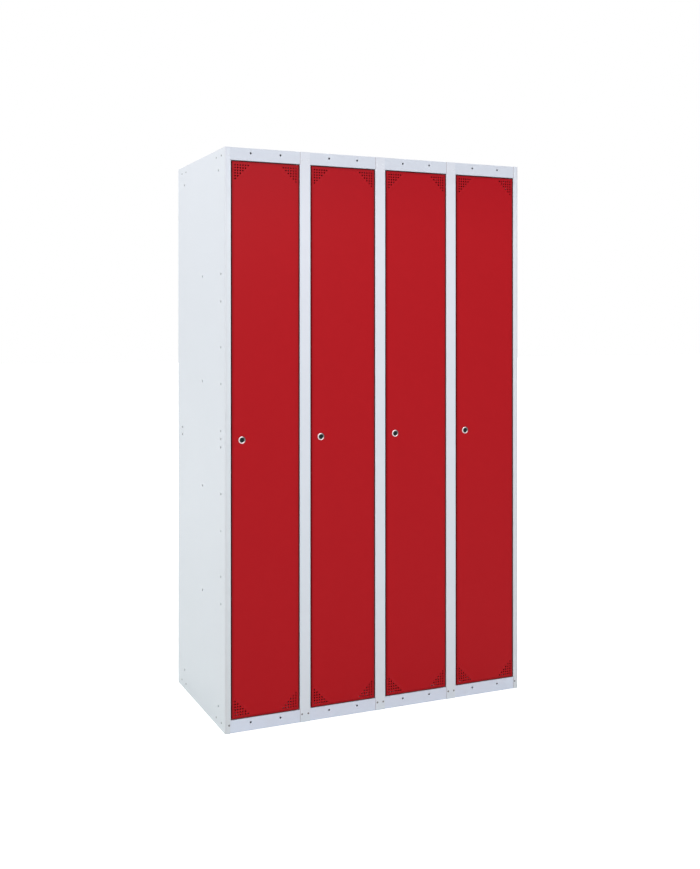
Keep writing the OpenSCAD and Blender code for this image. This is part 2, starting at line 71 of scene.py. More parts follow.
# Painted shade: the first and last greys are a painted foot and a painted top shade, and the next colour is
# painted shade for the gaps round the doors.
BODY_GREYS_AND_PAINTED_SHADES = ((0.625, 0.68, 0.712), (0.755, 0.795, 0.852), (0.66, 0.7, 0.775))
GREY_GAP_SHADE = (0.27, 0.19, 0.195)
BODY_ROUGH = 0.42
BODY_SHEEN = 0.4
DRIFT_SIZE = 0.35
DRIFT_SPAN = (0.3, 0.7)
DRIFT = 0.04
GLOSS_SIZE = 0.06
GLOSS_DRIFT = 0.10
PEEL_SIZE = 0.0016
PEEL_DEEP = 0.00004
PEEL_STRENGTH = 0.12
FACING_FRONT = (-0.5, -0.9)
TOP_FROM = 0.84
TOP_TO = 1.02
GAP_NEAR = 0.0005
GAP_FAR = 0.010
GAP_STARTS = 4
GAP_FADES = 1.6
RETURN_FAR = 0.012
RETURN_NEAR = 0.009
FOLD_NEAR = 0.002
FOLD_WIDE = 0.008
FOLD_SHADE = 0.11
WELD_IN = 0.008
WELD_STEP = 0.085
WELD_R = 0.004
WELD_FLAT = 0.4
WELD_DEEP = 14
HALF_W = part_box("right_side_panel")[1].x
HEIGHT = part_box("left_side_panel")[1].z
FRONT_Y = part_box("left_side_panel")[0].y
BACK_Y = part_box("left_side_panel")[1].y
BAYS = (1, 2, 3, 4)
UPRIGHTS = BAYS[:-1]
BAY_W = 2 * HALF_W / len(BAYS)


class Wire:
    """The output of a node in a material, on which arithmetic adds Math nodes."""

    def __init__(self, tree, socket=None):
        self.tree = tree
        self.socket = socket

    def node(self, kind, settings=None, sockets=None):
        """Adds a node of a kind, with its settings first and then its sockets' values or links."""
        made = self.tree.nodes.new(kind)
        for name, value in (settings or {}).items():
            setattr(made, name, value)
        for name, value in (sockets or {}).items():
            socket = made.inputs[name]
            if isinstance(value, Wire):
                self.tree.links.new(value.socket, socket)
            else:
                socket.default_value = value
        return made

    def out(self, made, name=0):
        """The output of a node that node() added, to go on with."""
        return Wire(self.tree, made.outputs[name])

    def math(self, operation, first, second=0.0):
        return self.out(self.node("ShaderNodeMath", {"operation": operation}, {0: first, 1: second}))

    def __add__(self, other):
        return self.math("ADD", self, other)

    def __radd__(self, other):
        return self.math("ADD", other, self)

    def __sub__(self, other):
        return self.math("SUBTRACT", self, other)

    def __rsub__(self, other):
        return self.math("SUBTRACT", other, self)

    def __mul__(self, other):
        return self.math("MULTIPLY", self, other)

    def __rmul__(self, other):
        return self.math("MULTIPLY", other, self)

    def size(self):
        return self.math("ABSOLUTE", self)

    def root(self):
        return self.math("SQRT", self)

    def least(self, other):
        return self.math("MINIMUM", self, other)

    def most(self, other):
        return self.math("MAXIMUM", self, other)

    def every(self, step):
        """The value counted from 0 again after each step."""
        return self.math("MODULO", self, step)

    def over(self, low, high):
        """How far the value has come from low to high, from 0 to 1, with soft ends."""
        made = self.node("ShaderNodeMapRange", {"interpolation_type": "SMOOTHSTEP"},
                         {"Value": self, "From Min": low, "From Max": high})
        return self.out(made, "Result")

    def part(self, letter):
        """One coordinate, X, Y or Z, of a place."""
        return self.out(self.node("ShaderNodeSeparateXYZ", None, {0: self}), letter)

    def noise(self, size, layers=3.0):
        """Cloudy variation from 0 to 1 at a place, with features of about size metres and that many
        layers of ever finer ones over them."""
        made = self.node("ShaderNodeTexNoise", {"noise_dimensions": "3D"},
                         {"Vector": self, "Scale": 1.0 / size, "Detail": layers})
        return self.out(made, "Fac")

    def blend(self, low, high):
        """A colour that goes from low to high, colours or wires, as the value goes from 0 to 1."""
        sockets = {"Factor": self}
        for socket, colour in ((6, low), (7, high)):
            sockets[socket] = colour if isinstance(colour, Wire) else (*colour, 1.0)
        return self.out(self.node("ShaderNodeMix", {"data_type": "RGBA"}, sockets), 2)


class Finish:
    """A new material for one finish: its shader, and the place and facing on the object as wires."""

    def __init__(self, name):
        self.material = bpy.data.materials.new(name)
        self.material.use_nodes = True
        self.tree = self.material.node_tree
        self.shader = self.tree.nodes["Principled BSDF"]
        start = Wire(self.tree)
        inputs = start.node("ShaderNodeTexCoord")
        self.place = start.out(inputs, "Object")
        self.facing = start.out(inputs, "Normal")

    def varies(self, name, wire):
        self.tree.links.new(wire.socket, self.shader.inputs[name])

    def fixed(self, name, value):
        self.shader.inputs[name].default_value = value

    def bumps(self, height, distance, strength):
        """Fine relief of that depth in metres."""
        sockets = {"Strength": strength, "Distance": distance, "Height": height}
        self.varies("Normal", self.place.out(self.place.node("ShaderNodeBump", None, sockets), "Normal"))


def in_gap(place, face_y=FRONT_Y, near=GAP_NEAR):
    """1 on the folds just behind a face, where painted shade darkens the gaps, and 0 elsewhere."""
    back = place.part("Y") - face_y
    return back.over(near, GAP_STARTS * near) * (1 - back.over(GAP_FAR, GAP_FADES * GAP_FAR))


def powder_coat(name, colours, gap_shade_colour, gap_shade_where, roughness, sheen, dents=None):
    """Baked powder paint with slow drifts of shade and gloss and fine orange peel. Its colour carries
    painted light and shade: a painted foot colour near the floor, a painted top shade on the front near the
    top, and painted shade in the gaps that the mask function passed in gives."""
    painted_foot_colour, colour, painted_top_colour = colours
    paint = Finish(name)
    drift = paint.place.noise(DRIFT_SIZE).over(*DRIFT_SPAN)
    height = paint.place.part("Z")
    # Painted shade: the colour goes from the painted foot colour near the floor to the main colour higher
    # up.
    shade = (DRIFT * drift + height * ((1 - DRIFT) / HEIGHT)).blend(painted_foot_colour, colour)
    at_front = paint.facing.part("Y").over(*FACING_FRONT)
    # Painted shade: the front faces near the top take the painted top colour.
    shade = (at_front * height.over(TOP_FROM * HEIGHT, TOP_TO * HEIGHT)).blend(shade, painted_top_colour)
    # Painted shade in the gaps, where the mask function passed in says.
    paint.varies("Base Color", gap_shade_where(paint).blend(shade, gap_shade_colour))
    gloss = paint.place.noise(GLOSS_SIZE)
    paint.varies("Roughness", roughness - GLOSS_DRIFT / 2 + GLOSS_DRIFT * gloss)
    grain = paint.place.noise(PEEL_SIZE, layers=1.0)
    if dents:
        grain = grain - dents(paint)
    paint.bumps(grain, PEEL_DEEP, PEEL_STRENGTH)
    paint.fixed("Specular IOR Level", sheen)
    return paint.material


def only(piece):
    """Selects one piece alone and makes it the active one."""
    bpy.ops.object.select_all(action="DESELECT")
    piece.select_set(True)
    bpy.context.view_layer.objects.active = piece


def smooth_folds(piece, degrees):
    """Shades a piece smooth where its faces meet at less than that angle."""
    only(piece)
    bpy.ops.object.shade_smooth_by_angle(angle=math.radians(degrees))


def round_edges(piece, width, steps=EDGE_STEPS):
    """Rounds a piece's sharp edges, shades its folds smooth and keeps its flats flat."""
    only(piece)
    bevel = piece.modifiers.new("edges", "BEVEL")
    bevel.width = width
    bevel.segments = steps
    bevel.limit_method = "ANGLE"
    bevel.angle_limit = math.radians(SHARP_DEGREES)
    bpy.ops.object.modifier_apply(modifier="edges")
    smooth_folds(piece, SMOOTH_DEGREES)
    piece.modifiers.new("flats", "WEIGHTED_NORMAL").keep_sharp = True
    bpy.ops.object.modifier_apply(modifier="flats")


def stands_for(piece, node, material, body):
    """Gives a finished piece its material and body, in the place of a CAD node."""
    piece.data.materials.clear()
    piece.data.materials.append(material)
    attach(piece, body)
    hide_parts(node)


def worked(node, name, material, body, edge=PAINT_EDGE, steps=EDGE_STEPS):
    """A CAD piece's own shape, merged, with its sharp edges rounded, to stand for that piece."""
    only(frame["nodes"][node])
    bpy.ops.object.duplicate()
    piece = bpy.context.object
    piece.name = name
    del piece["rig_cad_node"]
    bpy.ops.object.mode_set(mode="EDIT")
    bpy.ops.mesh.select_all(action="SELECT")
    bpy.ops.mesh.customdata_custom_splitnormals_clear()
    bpy.ops.mesh.remove_doubles(threshold=MERGE)
    bpy.ops.mesh.dissolve_limited(angle_limit=math.radians(FLAT_DEGREES))
    bpy.ops.object.mode_set(mode="OBJECT")
    round_edges(piece, edge, steps)
    stands_for(piece, node, material, body)


def gap_and_fold_shade(paint):
    """Where painted shade goes: the folded returns of the sides and uprights in the gaps, and not the
    locker's own outer faces, and a light painted shade along their front folds."""
    across = paint.place.part("X").size()
    back = paint.place.part("Y") - FRONT_Y
    outer = across.over(HALF_W - RETURN_FAR, HALF_W - RETURN_NEAR)
    fold = across.over(HALF_W - FOLD_WIDE, HALF_W - FOLD_NEAR) * (1 - back.over(FOLD_NEAR, FOLD_WIDE))
    return in_gap(paint.place) * (1 - outer) + FOLD_SHADE * fold


def spot_welds(paint):
    """Small round dents in the back, in columns where it is welded to the sides and partitions,
    as many times as deep as the orange peel as WELD_DEEP says."""
    along = (paint.place.part("X") + (HALF_W - WELD_IN)).every(BAY_W)
    beside = along.least(BAY_W - along)
    above = (paint.place.part("Z").every(WELD_STEP) - WELD_STEP / 2).size()
    away = (beside * beside + above * above).root()
    return WELD_DEEP * (1 - away.over(WELD_FLAT * WELD_R, WELD_R))


body_paint = powder_coat("body_powder_coat", BODY_GREYS_AND_PAINTED_SHADES, GREY_GAP_SHADE, gap_and_fold_shade, BODY_ROUGH, BODY_SHEEN)
back_paint = powder_coat("back_powder_coat", BODY_GREYS_AND_PAINTED_SHADES, GREY_GAP_SHADE, gap_and_fold_shade, BODY_ROUGH, BODY_SHEEN,
                         spot_welds)
for node in ("left_side_panel", "right_side_panel"):
    worked(node, node.replace("panel", "sheet"), body_paint, "carcass")
worked("back_panel", "back_sheet", back_paint, "carcass")
for k in UPRIGHTS:
    worked(f"partition_{k}", f"partition_sheet_{k}", body_paint, "carcass")

# The uprights between the doors: folded channels that lap over the rails above and below.
# Their grey is a touch more violet than the sides', painted as the tint of the light on the front.
# Painted shade: a painted foot colour, the main grey and a painted top shade.
UPRIGHT_GREYS_AND_PAINTED_SHADES = ((0.65, 0.718, 0.775), (0.732, 0.754, 0.832), (0.65, 0.68, 0.75))
upright_paint = powder_coat("upright_powder_coat", UPRIGHT_GREYS_AND_PAINTED_SHADES, GREY_GAP_SHADE, gap_and_fold_shade, BODY_ROUGH,
                            BODY_SHEEN)
for k in UPRIGHTS:
    worked(f"mullion_{k}", f"upright_{k}", upright_paint, "carcass")

# The roof and deck of each bay, one tray each, folded down at the front into the rail that shows over and
# under the door. They hang a little behind the uprights, and their grey is painted darker as shade, with
# painted shade in their folds towards the doors and a painted shadow line beside each upright's lap.
RAIL_GREYS_AND_PAINTED_SHADES = ((0.65, 0.718, 0.826), (0.61, 0.65, 0.73), (0.61, 0.65, 0.73))
RAIL_ROUGH = 0.44
RAIL_SHEEN = 0.35
RAIL_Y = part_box("top_panel_1")[0].y
ROOF_LOW = 0.012
ROOF_HIGH = 0.006
LAP_EDGE = 0.0022
JOINT_HALF = 0.0004
JOINT_SOFT = 0.3
lap_edges = [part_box(f"mullion_{k}")[0].x + LAP_EDGE for k in UPRIGHTS]
lap_edges.append(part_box("right_side_panel")[0].x + LAP_EDGE)


def rail_gap_and_joint_shade(paint):
    """Where painted shade goes: the rails' folds towards the doors, and a painted shadow line beside each
    upright's left cut edge.
    """
    roof = paint.place.part("Z").over(HEIGHT - ROOF_LOW, HEIGHT - ROOF_HIGH)
    where = in_gap(paint.place, RAIL_Y) * (1 - roof)
    # Painted shadow line along each upright's left cut edge, where it laps over the rail.
    for x in lap_edges:
        away = (paint.place.part("X") - (x - JOINT_HALF)).size()
        where = where.most(1 - away.over(JOINT_HALF * (1 - JOINT_SOFT), JOINT_HALF * (1 + JOINT_SOFT)))
    return where


rail_paint = powder_coat("rail_powder_coat", RAIL_GREYS_AND_PAINTED_SHADES, GREY_GAP_SHADE, rail_gap_and_joint_shade, RAIL_ROUGH, RAIL_SHEEN)
for k in BAYS:
    worked(f"top_panel_{k}", f"roof_tray_{k}", rail_paint, "carcass")
    worked(f"base_panel_{k}", f"deck_tray_{k}", rail_paint, "carcass")

# The hat shelf of each bay, of the same grey coated sheet: folded down at all four edges, with a
# hem under the front one, and welded to the bay's two sides.
for k in BAYS:
    worked(f"shelf_{k}", f"hat_shelf_{k}", body_paint, "carcass")

# The four doors: pans folded from the same sheet, perforated in their corners before they were
# folded, powder coated signal red, each with a channel welded down the middle of its back.
# Painted shade: the reds are a painted foot, the main red and a painted top shade, the next colour is
# painted shade in the doors' folds and holes, and EDGE_SHADE gives a painted shade along the doors' edges.
DOOR_REDS_AND_PAINTED_SHADES = ((0.41, 0.0075, 0.0125), (0.44, 0.0087, 0.0142), (0.393, 0.006, 0.0125))
RED_GAP_SHADE = (0.17, 0.003, 0.006)
DOOR_ROUGH = 0.4
DOOR_SHEEN = 0.08
HOLE_NEAR = 0.00012
FACING_OUT = (0.3, 0.7)
EDGE_SHADE = 0.45
EDGE_WIDE = 0.009
door_low, door_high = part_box("door_1")
door_half = (door_high - door_low) / 2


def door_gap_and_edge_shade(paint):
    """Painted shade on the doors' folded edges and the walls of their holes, which all face across the
    doors, and a soft painted shade along the doors' edges."""
    flat = paint.facing.part("Y").size().over(*FACING_OUT)
    folds = in_gap(paint.place, near=HOLE_NEAR) * (1 - flat)
    from_middle = (paint.place.part("X") + HALF_W).every(BAY_W) - BAY_W / 2
    from_side = door_half.x - from_middle.size()
    from_end = door_half.z - (paint.place.part("Z") - (door_low.z + door_half.z)).size()
    border = 1 - from_side.least(from_end).over(0.0, EDGE_WIDE)
    return folds.most(EDGE_SHADE * border)


door_paint = powder_coat("door_powder_coat", DOOR_REDS_AND_PAINTED_SHADES, RED_GAP_SHADE, door_gap_and_edge_shade, DOOR_ROUGH, DOOR_SHEEN)
for k in BAYS:
    worked(f"door_{k}", f"door_pan_{k}", door_paint, f"door_{k}")
    worked(f"door_stiffener_{k}", f"door_channel_{k}", door_paint, f"door_{k}")

# The blind rivets of steel: sixteen through the uprights into the rails, and forty through the
# sides and partitions into the trays. Each is a low dome with the broken mandrel in its middle.
RIVET_R = 0.003
RIVET_H = 0.0009
DOME_STEPS = 6
MANDREL_R = 0.0011
MANDREL = ((0.92, 0.0004), (0.8, 0.0004), (0.7, 0.00015), (0.0, 0.0001))
SHANK_R = 0.0016
TAIL_R = 0.0025
TAIL_H = 0.0014
TAIL_SHAPE = ((0.0, 1.0), (0.7, 1.0), (1.0, 0.6))
TAIL_EASE = 0.0001
GRIP = 2 * SHEET
INNER_GRIP = 3 * SHEET
RIVET_STEPS = 24
ROUND_DEGREES = 40
FRONT_RIVET_IN = 0.012
FRONT_RIVET_END = 0.024
UPRIGHT_RIVET = 0.010
SIDE_RIVET_END = 0.021
SIDE_RIVETS_FRONT = (0.037, 0.086)
SIDE_RIVETS_BACK = (0.093, 0.046)
# Painted light and shade: the rivets' colours go from dark near the floor to pale up high.
RIVET_PAINTED_LIGHT = (0.7, 0.735, 0.79)
RIVET_PAINTED_SHADE = (0.2, 0.205, 0.215)
SIDE_STEEL = (0.19, 0.2, 0.215)
SIDE_PAINTED_SHADE = (0.17, 0.18, 0.19)
PAINTED_SHADE_FROM = 0.1
PAINTED_SHADE_TO = 1.2
RIVET_MOTTLE = 0.003
RIVET_PATCHES = 0.15
RIVET_ROUGH = 0.45
RIVET_ROUGHER = 0.16
FOOT_METALLIC = 0.55
TOP_LESS_METALLIC = 0.35


def turned(name, profile, steps):
    """A round piece about z: its profile, as radii and heights, is drawn point by point and spun."""
    bpy.ops.object.select_all(action="DESELECT")
    bpy.ops.mesh.primitive_plane_add(size=0.001)
    piece = bpy.context.object
    piece.name = name
    bpy.ops.object.mode_set(mode="EDIT")
    bpy.ops.mesh.merge(type="CENTER")
    radius, height = profile[0]
    bpy.ops.transform.translate(value=(radius, 0, height))
    for new_radius, new_height in profile[1:]:
        step = (new_radius - radius, 0, new_height - height)
        bpy.ops.mesh.extrude_region_move(TRANSFORM_OT_translate={"value": step})
        radius, height = new_radius, new_height
    bpy.ops.mesh.select_all(action="SELECT")
    bpy.ops.mesh.spin(steps=steps, angle=math.tau, center=(0, 0, 0), axis=(0, 0, 1))
    bpy.ops.mesh.select_all(action="SELECT")
    bpy.ops.mesh.remove_doubles(threshold=MERGE)
    bpy.ops.mesh.normals_make_consistent(inside=False)
    bpy.ops.object.mode_set(mode="OBJECT")
    return piece


def set_at(piece, place, toward):
    """Turns a piece until its z axis points one way, moves it to its place and keeps both in the mesh."""
    only(piece)
    piece.rotation_euler = Vector(toward).to_track_quat("Z", "Y").to_euler()
    piece.location = place
    bpy.ops.object.transform_apply(location=True, rotation=True, scale=True)
    return piece


def copy_of(piece, name):
    only(piece)
    bpy.ops.object.duplicate()
    bpy.context.object.name = name
    return bpy.context.object


def joined(pieces, name):
    """Several pieces as one."""
    only(pieces[0])
    for piece in pieces:
        piece.select_set(True)
    bpy.ops.object.join()
    pieces[0].name = name
    return pieces[0]


def blind_rivet(name, grip):
    """A rivet whose head sits on z = 0, domed towards +z, through sheets as thick as the grip."""
    dome_r = (RIVET_R ** 2 + RIVET_H ** 2) / (2 * RIVET_H)
    dome = []
    for step in range(DOME_STEPS + 1):
        radius = RIVET_R + (MANDREL_R - RIVET_R) * step / DOME_STEPS
        dome.append((radius, math.sqrt(dome_r ** 2 - radius ** 2) - dome_r + RIVET_H))
    rim = dome[-1][1]
    mandrel = [(MANDREL_R * share, rim - deep) for share, deep in MANDREL]
    tail = [(TAIL_R * wide, -grip - TAIL_H * deep) for wide, deep in TAIL_SHAPE]
    shank = [(TAIL_R, -grip - TAIL_EASE), (SHANK_R, -grip), (SHANK_R, 0.0)]
    piece = turned(name, tail + shank + dome + mandrel, RIVET_STEPS)
    smooth_folds(piece, ROUND_DEGREES)
    return piece


def rivet_finish(name, colour, tarnish):
    """Rivet steel with painted light and shade: pale and less metallic up high and dark near the floor, for
    how they catch the light, with random patches.
    """
    steel = Finish(name)
    high = steel.place.part("Z").over(PAINTED_SHADE_FROM, PAINTED_SHADE_TO)
    mottle = steel.place.noise(RIVET_MOTTLE)
    steel.varies("Base Color", (high * (1 - RIVET_PATCHES + RIVET_PATCHES * mottle)).blend(tarnish, colour))
    steel.varies("Roughness", RIVET_ROUGH + RIVET_ROUGHER * mottle)
    steel.varies("Metallic", FOOT_METALLIC - TOP_LESS_METALLIC * high)
    return steel.material


rivet_steel = rivet_finish("rivet_steel", RIVET_PAINTED_LIGHT, RIVET_PAINTED_SHADE)
side_steel = rivet_finish("side_rivet_steel", SIDE_STEEL, SIDE_PAINTED_SHADE)
front_rivet_x = [-HALF_W + FRONT_RIVET_IN, HALF_W - FRONT_RIVET_IN]
for k in UPRIGHTS:
    middle = k * BAY_W - HALF_W
    front_rivet_x += [middle - UPRIGHT_RIVET, middle + UPRIGHT_RIVET]
front_rivet = blind_rivet("front_rivets", GRIP)
fronts = []
for x in front_rivet_x:
    for z in (FRONT_RIVET_END, HEIGHT - FRONT_RIVET_END):
        fronts.append(set_at(copy_of(front_rivet, "front_rivet"), (x, FRONT_Y, z), (0, -1, 0)))
bpy.data.objects.remove(front_rivet)
stands_for(joined(fronts, "upright_rivets"), "frame_rivets", rivet_steel, "carcass")
side_rivet_y = [FRONT_Y + away for away in SIDE_RIVETS_FRONT] + [BACK_Y - away for away in SIDE_RIVETS_BACK]
side_rivet = blind_rivet("side_rivet", GRIP)
inner_rivet = blind_rivet("inner_rivet", INNER_GRIP)
sides = []
for y in side_rivet_y:
    for z in (SIDE_RIVET_END, HEIGHT - SIDE_RIVET_END):
        sides.append(set_at(copy_of(side_rivet, "side_rivet"), (-HALF_W, y, z), (-1, 0, 0)))
        sides.append(set_at(copy_of(side_rivet, "side_rivet"), (HALF_W, y, z), (1, 0, 0)))
        for k in UPRIGHTS:
            x = k * BAY_W - HALF_W - INNER_GRIP / 2
            sides.append(set_at(copy_of(inner_rivet, "side_rivet"), (x, y, z), (-1, 0, 0)))
bpy.data.objects.remove(side_rivet)
bpy.data.objects.remove(inner_rivet)
stands_for(joined(sides, "tray_rivets"), "panel_rivets", side_steel, "carcass")

# The cam lock's ring and plug. The housing is die cast zinc, turned and chromed: a rounded ring
# proud of the door, a threaded barrel through it, and a bore in which the dark plug turns.
CHROME = (0.57, 0.5, 0.515)
# Painted reflection: the ring's colour turns dark towards its right and top.
CHROME_PAINTED_DARK = (0.12, 0.11, 0.115)
PLUG_DARK = (0.02, 0.03, 0.029)
PLUG_ROUGH = 0.3
RING_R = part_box("lock_housing_1")[1].x / 2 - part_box("lock_housing_1")[0].x / 2
RING_SEAT = 0.00005
RING_PROUD = 0.002
RING_ROUND = 0.0019
DISH_R = 0.0073
DISH_LIP = ((0.0008, 0.0001), (0.0003, 0.0004), (0.0, 0.0009))
BARREL_R = 0.008
BARREL_PLAIN = 0.0062
THREAD_FROM = 0.0075
THREAD_DEEP = 0.0005
THREAD_PITCH = 0.001
PLUG_R = 0.006
PLUG_BORE_R = 0.00605
PLUG_FACE = 0.001
EASE = 0.0004
FINE_EASE = 0.0001
FACE_EASE = 0.00015
NECK_R = 0.003
NECK_HEAD_R = 0.0045
HEAD_EASE = 0.0003
HEAD_END = ((0.85, 0.0002), (0.6, 0.0), (0.0, 0.0))
RING_STEPS = 64
PLUG_STEPS = 48
RING_DEGREES = 35
PLUG_EDGE = 0.00012
KEYWAY_W = 0.002
KEYWAY_L = 0.008
KEYWAY_DEEP = 0.009
WARD_W = 0.0007
WARD_L = 0.22 * KEYWAY_L
WARD_UP = 0.12 * KEYWAY_L
CUT_PAST = 0.001
LIP_STEPS = 6
MOTTLE = 0.15
MOTTLE_SIZE = 0.006
CHROME_ROUGH = 0.2
HAZE_SIZE = 0.004
HAZE_ROUGHER = 0.15
DARK_SIDE_ROUGHER = 0.1
DARK_SIDE_ACROSS = 0.9
DARK_SIDE_UP = 0.4
DARK_SIDE_FROM = 0.003
DARK_SIDE_TO = 0.0085
lock_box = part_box("lock_housing_1")
lock_depth = lock_box[1].y - FRONT_Y
cam_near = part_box("lock_cam_1")[0].y - FRONT_Y
cam_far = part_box("lock_cam_1")[1].y - FRONT_Y
neck_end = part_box("lock_plug_1")[1].y - FRONT_Y


def quarter(radius, height, size, start):
    """Points of a quarter round of that size, whose middle is at the radius and height."""
    angles = [start + math.radians(90) * step / LIP_STEPS for step in range(LIP_STEPS + 1)]
    return [(radius + size * math.cos(a), height + size * math.sin(a)) for a in angles]


def plated(name, colour, roughness):
    """Plated steel with fine brushing and faint mottling."""
    metal = Finish(name)
    mottle = metal.place.noise(MOTTLE_SIZE)
    darker = tuple((1.0 - MOTTLE) * c for c in colour)
    metal.varies("Base Color", mottle.blend(darker, colour))
    metal.varies("Roughness", roughness + MOTTLE * mottle)
    metal.fixed("Metallic", 1.0)
    return metal.material


def chromed(name, bright, painted_dark_colour, middle):
    """Bright chrome with a painted dark reflection on the right of each ring, a little more above, and
    rougher there.
    """
    metal = Finish(name)
    right = (metal.place.part("X") + HALF_W).every(BAY_W) - (middle.x + HALF_W)
    up = metal.place.part("Z") - middle.z
    painted_dark = (DARK_SIDE_ACROSS * right + DARK_SIDE_UP * up).over(DARK_SIDE_FROM, DARK_SIDE_TO)
    metal.varies("Base Color", painted_dark.blend(bright, painted_dark_colour))
    haze = metal.place.noise(HAZE_SIZE, layers=2.0)
    metal.varies("Roughness", CHROME_ROUGH + HAZE_ROUGHER * haze + DARK_SIDE_ROUGHER * painted_dark)
    metal.fixed("Metallic", 1.0)
    return metal.material


def cut_by(piece, tool, operation="DIFFERENCE"):
    """Cuts a piece by a tool, or keeps what lies in both, and takes the tool away."""
    only(piece)
    cut = piece.modifiers.new("cut", "BOOLEAN")
    cut.operation = operation
    cut.object = tool
    cut.solver = "EXACT"
    bpy.ops.object.modifier_apply(modifier="cut")
    bpy.data.objects.remove(tool)


def box_tool(place, size):
    """A plain block, for cutting."""
    bpy.ops.object.select_all(action="DESELECT")
    bpy.ops.mesh.primitive_cube_add(size=1, location=place)
    bpy.context.object.scale = size
    bpy.ops.object.transform_apply(location=True, rotation=True, scale=True)
    return bpy.context.object


chrome = chromed("lock_chrome", CHROME, CHROME_PAINTED_DARK, (lock_box[0] + lock_box[1]) / 2)
plug_dark = plated("lock_plug_dark", PLUG_DARK, PLUG_ROUGH)
thread = []
thread_at = THREAD_FROM
while thread_at < lock_depth - THREAD_PITCH:
    thread += [(BARREL_R - THREAD_DEEP, -thread_at), (BARREL_R, -thread_at - THREAD_PITCH / 2)]
    thread_at += THREAD_PITCH
ring_profile = (
    [(RING_R, RING_SEAT)]
    + quarter(RING_R - RING_ROUND, RING_PROUD - RING_ROUND, RING_ROUND, 0.0)
    + [(DISH_R + wider, RING_PROUD - lower) for wider, lower in DISH_LIP]
    + [(PLUG_R + EASE, PLUG_FACE - FINE_EASE), (PLUG_BORE_R, PLUG_FACE - EASE)]
    + [(PLUG_BORE_R, -lock_depth), (BARREL_R - THREAD_DEEP, -lock_depth)]
    + thread[::-1]
    + [(BARREL_R, -BARREL_PLAIN), (BARREL_R, RING_SEAT), (RING_R, RING_SEAT)])
plug_profile = [
    (0.0, PLUG_FACE), (PLUG_R - EASE, PLUG_FACE), (PLUG_R - FINE_EASE, PLUG_FACE - FACE_EASE),
    (PLUG_R, PLUG_FACE - EASE), (PLUG_R, -cam_near), (NECK_R, -cam_near), (NECK_R, -cam_far),
    (NECK_HEAD_R - HEAD_EASE, -cam_far), (NECK_HEAD_R, -cam_far - HEAD_EASE)]
plug_profile += [(NECK_HEAD_R * share, short - neck_end) for share, short in HEAD_END]
ring = turned("lock_ring", ring_profile, RING_STEPS)
smooth_folds(ring, RING_DEGREES)
plug = turned("lock_plug", plug_profile, PLUG_STEPS)
keyway_at = PLUG_FACE - KEYWAY_DEEP / 2 + CUT_PAST / 2
cut_by(plug, box_tool((0, 0, keyway_at), (KEYWAY_W, KEYWAY_L, KEYWAY_DEEP + CUT_PAST)))
for side in (-1, 1):
    ward = (side * KEYWAY_W / 2, side * WARD_UP, keyway_at)
    cut_by(plug, box_tool(ward, (WARD_W, WARD_L, KEYWAY_DEEP + CUT_PAST)))
round_edges(plug, PLUG_EDGE)

# The lock's hexagon nut, which clamps the housing from behind the door. It is turned and milled
# from steel and zinc plated, as are the cams and the coat rails.
ZINC = (0.62, 0.63, 0.65)
ZINC_ROUGH = 0.28
NUT_FLATS = 0.022
HEXAGON_HALF = math.radians(30)
NUT_T = 0.005
NUT_CHAMFER = 0.0012
NUT_RISE = 0.58 * NUT_CHAMFER
NUT_STEPS = 60
NUT_EDGE = 0.0001
zinc = plated("zinc_plate", ZINC, ZINC_ROUGH)
nut_corner_r = NUT_FLATS / 2 / math.cos(HEXAGON_HALF)
nut_bore_r = BARREL_R + RING_SEAT
nut_profile = [
    (nut_bore_r + EASE, 0.0), (nut_corner_r - NUT_CHAMFER, 0.0), (nut_corner_r, NUT_RISE),
    (nut_corner_r, NUT_T - NUT_RISE), (nut_corner_r - NUT_CHAMFER, NUT_T),
    (nut_bore_r + EASE, NUT_T), (nut_bore_r, NUT_T - EASE), (nut_bore_r, EASE),
    (nut_bore_r + EASE, 0.0)]
nut = turned("lock_nut", nut_profile, NUT_STEPS)
bpy.ops.object.select_all(action="DESELECT")
bpy.ops.mesh.primitive_cylinder_add(vertices=6, radius=nut_corner_r, depth=NUT_T * 2,
                                    location=(0, 0, NUT_T / 2), rotation=(0, 0, HEXAGON_HALF))
bpy.ops.object.transform_apply(location=True, rotation=True, scale=True)
cut_by(nut, bpy.context.object, "INTERSECT")
round_edges(nut, NUT_EDGE)

# The four locks, put together: each door holds a ring and its nut, and the plug turns in the ring with the
# pressed steel cam on its neck. The well inside the chrome ring takes the plug's dark material as painted
# shade.
CAM_EDGE = 0.0003
for k in BAYS:
    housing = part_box(f"lock_housing_{k}")
    middle = (housing[0] + housing[1]) / 2
    place = (middle.x, FRONT_Y, middle.z)
    turned_ring = set_at(copy_of(ring, f"lock_ring_{k}"), place, (0, -1, 0))
    stands_for(turned_ring, f"lock_housing_{k}", chrome, f"door_{k}")
    # Painted shade: the faces of the ring's well take the dark plug material.
    turned_ring.data.materials.append(plug_dark)
    for face in turned_ring.data.polygons:
        away = math.hypot(face.center.x - middle.x, face.center.z - middle.z)
        face.material_index = 1 if away < DISH_R else 0
    turned_plug = set_at(copy_of(plug, f"lock_barrel_{k}"), place, (0, -1, 0))
    stands_for(turned_plug, f"lock_plug_{k}", plug_dark, f"lock_{k}")
    behind = (middle.x, FRONT_Y + SHEET, middle.z)
    milled_nut = set_at(copy_of(nut, f"lock_hexagon_{k}"), behind, (0, 1, 0))
    stands_for(milled_nut, f"lock_nut_{k}", zinc, f"door_{k}")
    worked(f"lock_cam_{k}", f"cam_plate_{k}", zinc, f"lock_{k}", CAM_EDGE)
for pattern in (ring, plug, nut):
    bpy.data.objects.remove(pattern)

